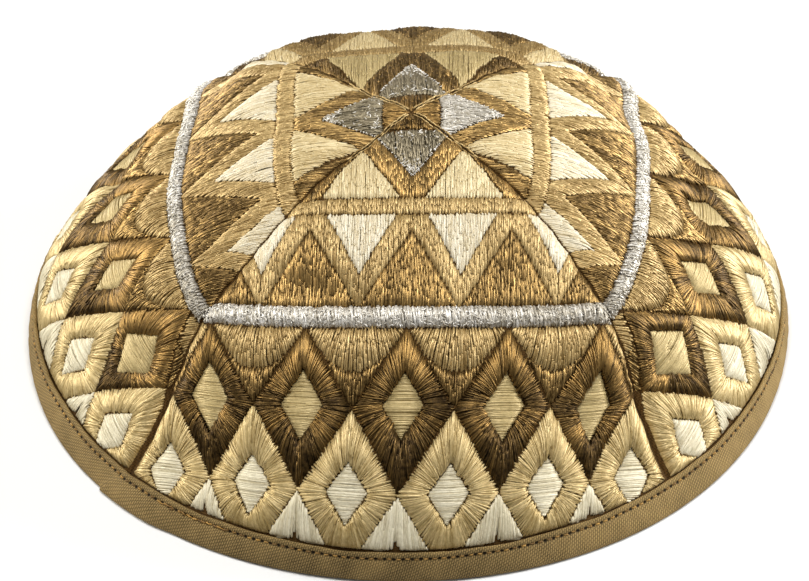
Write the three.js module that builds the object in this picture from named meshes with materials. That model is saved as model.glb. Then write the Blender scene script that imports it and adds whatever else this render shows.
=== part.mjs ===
// A four-panel embroidered skullcap with a bound rim.
// Millimetres, +Z up. The origin is the middle of the plane that the rim rests on,
// and the front panel faces -Y.
//
// Four cloth panels (front, right, back, left) meet in four seams and in a point at
// the crown. A tape, folded round the raw edge, binds the rim. Every piece is a closed
// wall, so the cap is hollow and open below.

import * as THREE from 'three';

// ---- driving sizes (mm, degrees) ---------------------------------------------------
const RIM_RADIUS = 89.4;         // outside of the cloth at the rim, in the middle of a panel
const WALL = 1.8;                // ground cloth, backing and embroidery together
const WALL_BOUND = 1.4;          // the same, pressed flat inside the binding
const SEAM_GAP = 0.4;            // clear width between two neighbouring panels
const SEAM_ROLL = 3.4;           // width over which a panel's edge rolls into its seam
const SEAM_DIP = 0.95;           // how far the edge rolls in
const CROWN_HOLE = 0.8;          // radius left open where the four tips meet

const TWIST = 3.0;               // turn of the crown over the rim
const TWIST_BOW = -0.68;         // and of the middle over both
const LEAN = { x: 0.019, y: -0.025 };   // shift of the crown, in rim radii
const BOW = { x: 0.0035, y: 0.052 };    // shift of the middle, in rim radii

const TAPE = 1.0;                // folded tape, two plies
const TAPE_CLEAR = 0.3;          // between the tape and the cloth it holds
const TAPE_PROUD = 0.6;          // how far the tape stands out from the cloth
const TAPE_OUTSIDE = 7.4;        // height of the outer leg, along the wall
const TAPE_INSIDE = 6.9;         // height of the inner leg
const CLOTH_START = 1.35;        // height of the cloth's raw edge inside the fold

const PANEL_COLUMNS = 18;
const PANEL_ROWS = 15;           // above the binding
const TAPE_STEPS = 80;

// The cap's shape: one row for each height, as an angle up from the rim's plane seen
// from the origin, with the distance from the origin to the cloth in rim radii, along
// the middle of a panel and along a seam. Lower down the panels stand out between the
// seams, and the seams are drawn in.
const SECTIONS = [
  { angle: 90 * 0 / 7, middle: 1.000, seam: 1.013 },
  { angle: 90 * 1 / 7, middle: 0.949, seam: 0.886 },
  { angle: 90 * 2 / 7, middle: 0.847, seam: 0.850 },
  { angle: 90 * 3 / 7, middle: 0.779, seam: 0.795 },
  { angle: 90 * 4 / 7, middle: 0.737, seam: 0.749 },
  { angle: 90 * 5 / 7, middle: 0.712, seam: 0.727 },
  { angle: 90 * 6 / 7, middle: 0.706, seam: 0.705 },
  { angle: 90 * 7 / 7, middle: 0.714, seam: 0.714 },
];

const PANELS = [
  { name: 'panel_front', facing: 0, colour: 0x8a6238 },
  { name: 'panel_right', facing: 90, colour: 0x8f673c },
  { name: 'panel_back', facing: 180, colour: 0x8a6238 },
  { name: 'panel_left', facing: 270, colour: 0x8f673c },
];

// The folded tape's section, from the outer bottom edge up, over, down the inside of
// the channel and back. `up` is height along the wall, `out` is outward from the cloth.
const CLOTH_FACE = TAPE_PROUD - TAPE;                    // inner face of the outer leg
const INSIDE_FACE = CLOTH_FACE - TAPE_CLEAR - WALL_BOUND - TAPE_CLEAR;
const TAPE_SECTION = [
  { up: 0, out: 0.1 },
  { up: 0.45, out: 0.5 },
  { up: 2.4, out: TAPE_PROUD },
  { up: 4.8, out: TAPE_PROUD },
  { up: TAPE_OUTSIDE - 0.5, out: TAPE_PROUD },
  { up: TAPE_OUTSIDE, out: TAPE_PROUD - 0.4 },
  { up: TAPE_OUTSIDE, out: CLOTH_FACE + 0.1 },
  { up: TAPE_OUTSIDE - 0.6, out: CLOTH_FACE },
  { up: 4.0, out: CLOTH_FACE },
  { up: TAPE, out: CLOTH_FACE },
  { up: TAPE, out: INSIDE_FACE },
  { up: 4.0, out: INSIDE_FACE },
  { up: TAPE_INSIDE, out: INSIDE_FACE },
  { up: TAPE_INSIDE, out: INSIDE_FACE - 0.6 },
  { up: TAPE_INSIDE - 0.5, out: INSIDE_FACE - TAPE },
  { up: 3.0, out: INSIDE_FACE - TAPE },
  { up: 0.5, out: INSIDE_FACE - TAPE + 0.1 },
  { up: 0, out: INSIDE_FACE - TAPE + 0.6 },
];

// ---- the cloth's surface -----------------------------------------------------------
const rad = THREE.MathUtils.degToRad;
const smooth = (t) => { const u = Math.min(1, Math.max(0, t)); return u * u * (3 - 2 * u); };

// A smooth curve through the sections: free at the rim, level at the crown.
function splineThrough(values) {
  const n = values.length;
  const step = rad(90 / (n - 1));
  const sub = [], main = [], sup = [], rhs = [];
  for (let i = 0; i < n; i++) {
    if (i === 0) { sub.push(0); main.push(1); sup.push(0); rhs.push(0); }
    else if (i === n - 1) { sub.push(1); main.push(2); sup.push(0); rhs.push(6 * (0 - (values[i] - values[i - 1]) / step) / step); }
    else { sub.push(1); main.push(4); sup.push(1); rhs.push(6 * (values[i + 1] - 2 * values[i] + values[i - 1]) / (step * step)); }
  }
  for (let i = 1; i < n; i++) {
    const f = sub[i] / main[i - 1];
    main[i] -= f * sup[i - 1];
    rhs[i] -= f * rhs[i - 1];
  }
  const bend = new Array(n);
  bend[n - 1] = rhs[n - 1] / main[n - 1];
  for (let i = n - 2; i >= 0; i--) bend[i] = (rhs[i] - sup[i] * bend[i + 1]) / main[i];
  return (angle) => {
    const i = Math.min(n - 2, Math.max(0, Math.floor(angle / step)));
    const b = angle / step - i, a = 1 - b;
    return a * values[i] + b * values[i + 1]
      + ((a * a * a - a) * bend[i] + (b * b * b - b) * bend[i + 1]) * step * step / 6;
  };
}
const middleDistance = splineThrough(SECTIONS.map((s) => s.middle));
const seamDistance = splineThrough(SECTIONS.map((s) => s.seam));

// The point at an angle up from the rim and a bearing round the cap (0 is the front).
function cloth(angle, bearing) {
  const toSeam = (1 - Math.cos(4 * bearing)) / 2;
  const distance = RIM_RADIUS * (middleDistance(angle) * (1 - toSeam) + seamDistance(angle) * toSeam);
  const up = Math.sin(angle), bow = Math.sin(2 * angle);
  const turned = bearing + rad(TWIST) * up + rad(TWIST_BOW) * bow;
  const r = distance * Math.cos(angle);
  return new THREE.Vector3(
    r * Math.sin(turned) + RIM_RADIUS * (LEAN.x * up + BOW.x * bow),
    -r * Math.cos(turned) + RIM_RADIUS * (LEAN.y * up + BOW.y * bow),
    distance * up,
  );
}
function outward(angle, bearing) {
  const e = 1e-3;
  const lower = Math.max(angle - e, -0.02), upper = Math.min(angle + e, Math.PI / 2 - 2e-3);
  const meridian = cloth(upper, bearing).sub(cloth(lower, bearing));
  const round = cloth(angle, bearing + e).sub(cloth(angle, bearing - e));
  return round.cross(meridian).normalize();
}
const axisDistance = (angle, bearing) => {
  const toSeam = (1 - Math.cos(4 * bearing)) / 2;
  return RIM_RADIUS * Math.cos(angle) * (middleDistance(angle) * (1 - toSeam) + seamDistance(angle) * toSeam);
};

// The angle reached after a height along the wall, up from the rim.
function angleAtHeight(height, bearing) {
  const steps = 24;
  let low = 0, high = rad(12);
  const lengthTo = (angle) => {
    let sum = 0, last = cloth(0, bearing);
    for (let i = 1; i <= steps; i++) {
      const next = cloth(angle * i / steps, bearing);
      sum += next.distanceTo(last);
      last = next;
    }
    return sum;
  };
  for (let i = 0; i < 30; i++) {
    const mid = (low + high) / 2;
    if (lengthTo(mid) < height) low = mid; else high = mid;
  }
  return (low + high) / 2;
}

// Outward from the wall at a height above the rim: level at the fold, square to the
// cloth from a few millimetres up.
function outwardAtHeight(height, angle, bearing) {
  const level = outward(0.001, bearing).setZ(0).normalize();
  return level.lerp(outward(angle + 0.001, bearing), smooth((height - 0.6) / 3)).normalize();
}

// ---- closed bodies -----------------------------------------------------------------
function closedMesh(name, points, triangles, colour, roughness) {
  let volume = 0;
  for (const [a, b, c] of triangles) volume += points[a].dot(points[b].clone().cross(points[c])) / 6;
  const faces = volume > 0 ? triangles : triangles.map(([a, b, c]) => [a, c, b]);
  const geometry = new THREE.BufferGeometry();
  geometry.setAttribute('position', new THREE.Float32BufferAttribute(points.flatMap((p) => p.toArray()), 3));
  geometry.setIndex(faces.flat());
  geometry.computeVertexNormals();
  const mesh = new THREE.Mesh(geometry, new THREE.MeshStandardMaterial({ color: colour, roughness, metalness: 0 }));
  mesh.name = name;
  return mesh;
}
function quad(triangles, a, b, c, d) {
  triangles.push([a, b, c], [a, c, d]);
}

// One panel: a grid of the outer face, the same grid set in by the wall, and the four
// edges between them.
function panel({ name, facing, colour }) {
  const centre = rad(facing);
  const points = [], triangles = [];
  const boundRows = [CLOTH_START, 4.0, TAPE_OUTSIDE - 0.4];   // heights inside the binding
  const first = boundRows.length;
  const rows = PANEL_ROWS + first;
  const columns = PANEL_COLUMNS;
  const crownAngle = Math.PI / 2 - CROWN_HOLE / (RIM_RADIUS * SECTIONS[SECTIONS.length - 1].middle);

  const rowAngle = (row, bearing) => {
    if (row < first) return angleAtHeight(boundRows[row], bearing);
    const start = angleAtHeight(TAPE_OUTSIDE + 1.2, bearing);
    return start + (crownAngle - start) * (row - first) / (rows - first);
  };
  const corner = (row, column, inside) => {
    const across = Math.sin(Math.PI / 2 * (2 * column / columns - 1));   // closer together near the seams
    let angle = rowAngle(row, centre + across * Math.PI / 4);
    const seamAngle = Math.asin(Math.min(0.7, SEAM_GAP / 2 / axisDistance(angle, centre + Math.PI / 4)));
    const bearing = centre + across * (Math.PI / 4 - seamAngle);
    angle = rowAngle(row, bearing);
    const r = axisDistance(angle, bearing);
    const fromSeam = r * (Math.PI / 4 - Math.abs(across) * (Math.PI / 4 - seamAngle));
    const bound = row < first;
    const roll = Math.min(SEAM_ROLL, r * 0.35);
    const dip = SEAM_DIP * (1 - smooth(fromSeam / roll)) * (bound ? 0.25 : 1) * Math.min(1, r / 6);
    const set = bound ? CLOTH_FACE - TAPE_CLEAR : 0;
    const out = inside ? set - (bound ? WALL_BOUND : WALL) : set - dip;
    const normal = bound ? outwardAtHeight(boundRows[row], angle, bearing) : outward(angle, bearing);
    return cloth(angle, bearing).addScaledVector(normal, out);
  };
  const index = (row, column, inside) => (inside ? (rows + 1) * (columns + 1) : 0) + row * (columns + 1) + column;
  for (const inside of [false, true]) {
    for (let row = 0; row <= rows; row++) {
      for (let column = 0; column <= columns; column++) points.push(corner(row, column, inside));
    }
  }
  for (let row = 0; row < rows; row++) {
    for (let column = 0; column < columns; column++) {
      quad(triangles, index(row, column, false), index(row, column + 1, false), index(row + 1, column + 1, false), index(row + 1, column, false));
      quad(triangles, index(row, column, true), index(row + 1, column, true), index(row + 1, column + 1, true), index(row, column + 1, true));
    }
  }
  for (let column = 0; column < columns; column++) {
    quad(triangles, index(0, column, true), index(0, column + 1, true), index(0, column + 1, false), index(0, column, false));
    quad(triangles, index(rows, column, false), index(rows, column + 1, false), index(rows, column + 1, true), index(rows, column, true));
  }
  for (let row = 0; row < rows; row++) {
    quad(triangles, index(row, 0, false), index(row + 1, 0, false), index(row + 1, 0, true), index(row, 0, true));
    quad(triangles, index(row, columns, true), index(row + 1, columns, true), index(row + 1, columns, false), index(row, columns, false));
  }
  return closedMesh(name, points, triangles, colour, 0.6);
}

// The binding: its section carried once round the rim. The section's lowest points lie
// in the plane that the cap rests on.
function binding() {
  const points = [], triangles = [];
  const n = TAPE_SECTION.length;
  for (let i = 0; i < TAPE_STEPS; i++) {
    const bearing = 2 * Math.PI * i / TAPE_STEPS;
    for (const { up, out } of TAPE_SECTION) {
      const angle = angleAtHeight(up, bearing);
      const place = cloth(angle, bearing).addScaledVector(outwardAtHeight(up, angle, bearing), out);
      if (up === 0) place.z = 0;
      points.push(place);
    }
  }
  for (let i = 0; i < TAPE_STEPS; i++) {
    const j = (i + 1) % TAPE_STEPS;
    for (let k = 0; k < n; k++) {
      const l = (k + 1) % n;
      quad(triangles, i * n + k, j * n + k, j * n + l, i * n + l);
    }
  }
  return closedMesh('rim_binding', points, triangles, 0x8d7a52, 0.85);
}

const group = new THREE.Group();
for (const row of PANELS) group.add(panel(row));
group.add(binding());

export default group;
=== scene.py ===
"""Embroidered four-panel skullcap: cloth panels, every stitch of the embroidery, and the bound rim.

Lengths are millimetres until the meshes are made, and then metres. The front panel faces -Y.
"""

import math

import bpy
import numpy as np
from mathutils import Matrix, Vector


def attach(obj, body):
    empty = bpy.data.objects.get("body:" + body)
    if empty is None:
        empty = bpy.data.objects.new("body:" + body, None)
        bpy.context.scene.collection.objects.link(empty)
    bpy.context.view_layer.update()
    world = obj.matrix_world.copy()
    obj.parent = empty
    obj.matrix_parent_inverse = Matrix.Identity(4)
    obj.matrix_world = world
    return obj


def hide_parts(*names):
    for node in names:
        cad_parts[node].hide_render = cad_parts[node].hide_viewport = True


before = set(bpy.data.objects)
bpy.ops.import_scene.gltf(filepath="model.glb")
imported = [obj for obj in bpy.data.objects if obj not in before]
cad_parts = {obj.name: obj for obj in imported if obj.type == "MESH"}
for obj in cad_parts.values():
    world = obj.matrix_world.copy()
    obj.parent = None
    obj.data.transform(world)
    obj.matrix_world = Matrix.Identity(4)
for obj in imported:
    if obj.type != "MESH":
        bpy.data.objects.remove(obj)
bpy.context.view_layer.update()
rng = np.random.default_rng(20)
MM = 0.001

# ---- the cap's shape, as in the part's source ----------------------------------------
RIM_RADIUS = 89.4
SECTIONS_MIDDLE = [1.000, 0.949, 0.847, 0.779, 0.737, 0.712, 0.706, 0.714]
SECTIONS_SEAM = [1.013, 0.886, 0.850, 0.795, 0.749, 0.727, 0.705, 0.714]
TWIST, TWIST_BOW = math.radians(3.0), math.radians(-0.68)
LEAN, BOW = (0.019, -0.025), (0.0035, 0.052)
SEAM_ROLL, SEAM_DIP, SEAM_GAP = 3.4, 1.15, 0.06
TAPE, TAPE_CLEAR, TAPE_PROUD = 1.0, 0.3, 0.6
TAPE_OUTSIDE, TAPE_INSIDE, CLOTH_START = 7.4, 6.9, 1.35
WALL_BOUND = 1.4
GROUND_SET = -0.55  # the ground cloth lies this far under the embroidery's face
GROUND_WALL = 1.2

PANELS = {"front": 0, "right": 90, "back": 180, "left": 270}


def smooth(t):
    u = np.clip(t, 0, 1)
    return u * u * (3 - 2 * u)


def spline(values):
    v = np.array(values, float)
    n, h = len(v), math.radians(90 / (len(v) - 1))
    a, b = np.zeros((n, n)), np.zeros(n)
    a[0, 0] = 1
    for i in range(1, n - 1):
        a[i, i - 1 : i + 2] = (1, 4, 1)
        b[i] = 6 * (v[i + 1] - 2 * v[i] + v[i - 1]) / h**2
    a[-1, -2:] = (1, 2)
    b[-1] = -6 * (v[-1] - v[-2]) / h**2
    m = np.linalg.solve(a, b)

    def at(angle):
        i = np.clip(np.floor(angle / h).astype(int), 0, n - 2)
        q = angle / h - i
        p = 1 - q
        return (
            p * v[i]
            + q * v[i + 1]
            + ((p**3 - p) * m[i] + (q**3 - q) * m[i + 1]) * h * h / 6
        )

    return at


middle_distance, seam_distance = spline(SECTIONS_MIDDLE), spline(SECTIONS_SEAM)


def distance(angle, bearing):
    w = (1 - np.cos(4 * bearing)) / 2
    return RIM_RADIUS * (middle_distance(angle) * (1 - w) + seam_distance(angle) * w)


def cloth(angle, bearing):
    angle, bearing = np.broadcast_arrays(
        np.asarray(angle, float), np.asarray(bearing, float)
    )
    d, up, bow = distance(angle, bearing), np.sin(angle), np.sin(2 * angle)
    turned, r = bearing + TWIST * up + TWIST_BOW * bow, d * np.cos(angle)
    return np.stack(
        [
            r * np.sin(turned) + RIM_RADIUS * (LEAN[0] * up + BOW[0] * bow),
            -r * np.cos(turned) + RIM_RADIUS * (LEAN[1] * up + BOW[1] * bow),
            d * up,
        ],
        -1,
    )


def unit(v):
    return v / np.maximum(np.linalg.norm(v, axis=-1, keepdims=True), 1e-12)


def outward(angle, bearing):
    e = 1e-3
    low, high = np.maximum(angle - e, -0.02), np.minimum(angle + e, math.pi / 2 - 2e-3)
    return unit(
        np.cross(
            cloth(angle, bearing + e) - cloth(angle, bearing - e),
            cloth(high, bearing) - cloth(low, bearing),
        )
    )


# Height along the wall above the rim, and back
WALL_ANGLES = np.radians(np.linspace(0, 16, 97))
WALL_BEARINGS = np.linspace(-math.pi / 4, math.pi / 4, 121)
_w = cloth(WALL_ANGLES[:, None], WALL_BEARINGS[None, :])
WALL_HEIGHTS = np.concatenate(
    [
        np.zeros((1, 121)),
        np.cumsum(np.linalg.norm(np.diff(_w, axis=0), axis=-1), axis=0),
    ]
)


def fold_bearing(bearing):
    """The same place on the panel that faces front."""
    return (bearing + math.pi / 4) % (math.pi / 2) - math.pi / 4


def height_of(angle, bearing):
    angle, bearing = np.broadcast_arrays(
        np.asarray(angle, float), np.asarray(bearing, float)
    )
    j = (fold_bearing(bearing) + math.pi / 4) / (math.pi / 2) * 120
    i = np.clip(angle / WALL_ANGLES[1], -1, 95.999)
    i0, j0 = np.clip(np.floor(i).astype(int), 0, 95), np.clip(np.floor(j).astype(int), 0, 119)
    a, b = i - i0, j - j0
    h = WALL_HEIGHTS
    return (h[i0, j0] * (1 - b) + h[i0, j0 + 1] * b) * (1 - a) + (
        h[i0 + 1, j0] * (1 - b) + h[i0 + 1, j0 + 1] * b
    ) * a


def angle_at_height(height, bearing):
    height, bearing = np.broadcast_arrays(
        np.asarray(height, float), np.asarray(bearing, float)
    )
    low, high = np.zeros(height.shape), np.full(height.shape, WALL_ANGLES[-1])
    for _ in range(34):
        mid = (low + high) / 2
        under = height_of(mid, bearing) < height
        low, high = np.where(under, mid, low), np.where(under, high, mid)
    return (low + high) / 2


def outward_at_height(height, angle, bearing):
    level = outward(np.full(np.shape(bearing), 0.001), bearing)
    level[..., 2] = 0
    level = unit(level)
    t = smooth((np.asarray(height) - 0.6) / 3)[..., None]
    return unit(level * (1 - t) + outward(angle + 0.001, bearing) * t)


# ---- the ground cloth: rolled seams, puckers and gentle dents -------------------------
# Slow waves in the cloth: length in mm, height in mm, direction in degrees and phase
WAVES = [
    {"length": 46, "height": 0.34, "way": 20, "phase": 0.4},
    {"length": 33, "height": 0.22, "way": 100, "phase": 2.1},
    {"length": 24, "height": 0.13, "way": 62, "phase": 4.0},
    {"length": 17, "height": 0.08, "way": 150, "phase": 1.2},
]
# Dents pressed into the cloth: bearing and angle up from the rim in degrees, reach across and along the wall and depth in mm
DENTS = [
    {"bearing": -27, "angle": 41.7, "wide": 9, "tall": 3.8, "depth": 1.35},
    {"bearing": 1.5, "angle": 48.6, "wide": 4, "tall": 4.5, "depth": 0.75},
    {"bearing": 30, "angle": 43.5, "wide": 6, "tall": 4, "depth": 0.6},
    {"bearing": -40, "angle": 34, "wide": 7, "tall": 6, "depth": 0.8},
    {"bearing": 180, "angle": 48.5, "wide": 75, "tall": 9, "depth": -1.35},
    {"bearing": 180, "angle": 36.5, "wide": 85, "tall": 6, "depth": 1.5},
    {"bearing": 147, "angle": 37, "wide": 11, "tall": 5, "depth": 0.9},
    {"bearing": 213, "angle": 37, "wide": 11, "tall": 5, "depth": 0.9},
    {"bearing": 144, "angle": 43, "wide": 14, "tall": 5, "depth": -1.3},
    {"bearing": 216, "angle": 43, "wide": 14, "tall": 5, "depth": -1.3},
    {"bearing": 94, "angle": 26.8, "wide": 17, "tall": 3.8, "depth": 1.5},
    {"bearing": 67, "angle": 25.5, "wide": 3.4, "tall": 9, "depth": 0.9},
    {"bearing": -103, "angle": 23.3, "wide": 17, "tall": 3.6, "depth": 1.3},
    {"bearing": 118, "angle": 42, "wide": 11, "tall": 9, "depth": 0.7},
    {"bearing": 196, "angle": 22, "wide": 12, "tall": 8, "depth": 0.8},
    {"bearing": 262, "angle": 47, "wide": 10, "tall": 8, "depth": 0.6},
]


def bumps(angle, bearing, centre):
    """Height of the cloth over its plain shape, apart from the rolled seams."""
    p = cloth(angle, bearing)
    total = np.zeros(np.shape(angle))
    for w in WAVES:
        k, a = 2 * math.pi / w["length"], math.radians(w["way"])
        total = total + w["height"] * np.sin(
            k * (p[..., 0] * math.cos(a) + p[..., 1] * math.sin(a) + 0.6 * p[..., 2])
            + w["phase"]
        )
    r = distance(angle, bearing) * np.cos(angle)
    for d in DENTS:
        across = r * ((bearing - math.radians(d["bearing"]) + math.pi) % (2 * math.pi) - math.pi)
        along = distance(angle, bearing) * (angle - math.radians(d["angle"]))
        total = total - d["depth"] * np.exp(-((across / d["wide"]) ** 2) - (along / d["tall"]) ** 2)
    local = bearing - centre
    off = r * (math.pi / 4 - np.abs(local))
    along = angle * RIM_RADIUS * 0.85
    side = np.where(local > 0, 1.7, 0.0) + centre * 2.3
    total = total + 0.2 * np.exp(-((off / 6) ** 2)) * np.sin(
        along * 2 * math.pi / 7.3 + 1.4 * np.sin(along / 9 + side) + side
    )
    h = height_of(np.minimum(angle, 0.27), bearing)
    return total * smooth((h - TAPE_OUTSIDE) / 12) * np.minimum(1, r / 10)


def ground(angle, bearing, centre, inside=False):
    local = bearing - centre
    r = distance(angle, bearing) * np.cos(angle)
    off = r * (math.pi / 4 - np.abs(local))
    roll = np.maximum(np.minimum(SEAM_ROLL, r * 0.35), 0.2)
    dip = SEAM_DIP * (1 + 0.45 * smooth((0.62 - angle) / 0.3)) * (1 - smooth(off / roll)) * (0.12 * np.minimum(1, r / 3) + 0.88 * smooth((r - 3) / 16))
    h = height_of(np.minimum(angle, 0.27), bearing)
    free = smooth((h - (TAPE_OUTSIDE - 0.5)) / 1.6)
    face = TAPE_PROUD - TAPE - TAPE_CLEAR
    normal = np.where(
        (angle < 0.2)[..., None],
        outward_at_height(h, np.minimum(angle, 0.26), bearing),
        outward(angle, bearing),
    )
    if inside:
        # each seam stands in as a welt
        out = (GROUND_SET - GROUND_WALL - 0.8 * dip) * free + (face - WALL_BOUND) * (1 - free)
        out = out + bumps(angle, bearing, centre)
    else:
        out = (GROUND_SET - dip) * free + (face - 0.25 * dip) * (1 - free)
        out = out + bumps(angle, bearing, centre)
    return cloth(angle, bearing) + normal * out[..., None]


# ---- the flat panel: x across and y down from the crown, in mm ------------------------
# A straight row of the pattern hangs this much lower at the seams than in the middle.
ROW_DROP = math.radians(13.5)
LEVELS, ACROSS = 300, 241
CHART_RADIUS = 90.0


def plain(angle, bearing):
    """The embroidery's face with no lean or twist, the same on all four panels: the pattern is charted on it."""
    d = distance(angle, bearing) * CHART_RADIUS / RIM_RADIUS
    r = d * np.cos(angle)
    return np.stack([r * np.sin(bearing), -r * np.cos(bearing), d * np.sin(angle)], -1)


def level_angle(middle, local):
    return middle - ROW_DROP * np.clip((math.pi / 2 - middle) / math.radians(25), 0, 1) * local**2


# The silver line and the rows beside it sit this much lower at the back, in mm: at the panel's left seam and its right one
SLIP = {"front": (0.0, 0.0), "right": (0.0, 5.0), "back": (5.0, 5.0), "left": (5.0, 0.0)}


class Flat:
    """Carries a point of the flat panel to the cap."""

    def __init__(self, centre, slip):
        self.slip = slip
        levels = np.linspace(math.pi / 2 - 0.004, -0.03, LEVELS)
        local = np.linspace(0, math.pi / 4, 160)
        a, b = np.meshgrid(levels, local, indexing="ij")
        p = plain(level_angle(a, b), b)
        across = np.linalg.norm(np.diff(p, axis=1), axis=-1)
        across = np.concatenate([np.zeros((LEVELS, 1)), np.cumsum(across, axis=1)], 1)
        down = np.linalg.norm(np.diff(p[:, 0], axis=0), axis=-1)
        self.y = np.concatenate([[0], np.cumsum(down)])
        self.seam = across[:, -1]
        share = np.linspace(-1, 1, ACROSS)
        self.local = np.stack(
            [
                np.sign(share) * np.interp(np.abs(share) * s[-1], s, local)
                for s in across
            ]
        )
        angle = level_angle(levels[:, None], self.local)
        self.height = height_of(np.clip(angle, -0.03, 0.27), self.local)
        safe = np.maximum(angle, 0.004)
        self.place = ground(safe, centre + self.local, centre)
        g = np.gradient(self.place, axis=1)
        u = np.gradient(self.place, axis=0)
        self.normal = unit(np.cross(u, g))
        if (self.normal[LEVELS // 2, ACROSS // 2] * outward(np.array(0.6), np.array(centre))).sum() < 0:
            self.normal = -self.normal

    def seam_at(self, y):
        return np.interp(y, self.y, self.seam)

    def slipped(self, x, y):
        x = np.asarray(x)
        if self.slip[0] == self.slip[1]:
            down = self.slip[0]
        else:
            down = self.slip[0] * smooth((-x - 18) / 29) + self.slip[1] * smooth((x - 18) / 29)
        return y + down * smooth((y - 42) / 14) * (1 - smooth((y - 62) / 26))

    def cell(self, x, y):
        y = self.slipped(x, y)
        i = np.interp(y, self.y, np.arange(LEVELS))
        s = np.clip(x / np.maximum(self.seam_at(y), 1e-6), -1, 1)
        j = (s + 1) / 2 * (ACROSS - 1)
        i0 = np.clip(np.floor(i).astype(int), 0, LEVELS - 2)
        j0 = np.clip(np.floor(j).astype(int), 0, ACROSS - 2)
        return i0, j0, i - i0, j - j0

    def read(self, table, cell):
        i, j, a, b = cell
        if table.ndim == 3:
            a, b = a[..., None], b[..., None]
        return (table[i, j] * (1 - b) + table[i, j + 1] * b) * (1 - a) + (
            table[i + 1, j] * (1 - b) + table[i + 1, j + 1] * b
        ) * a

    def room(self, x, y):
        """How far a point is inside the panel's sewn part, in mm."""
        bare = np.interp(y, [58, 96], [0.25, 0.95])
        return np.minimum(
            self.seam_at(self.slipped(x, y)) - bare - np.abs(x),
            self.read(self.height, self.cell(x, y)) - (TAPE_OUTSIDE + 0.12),
        )


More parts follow.
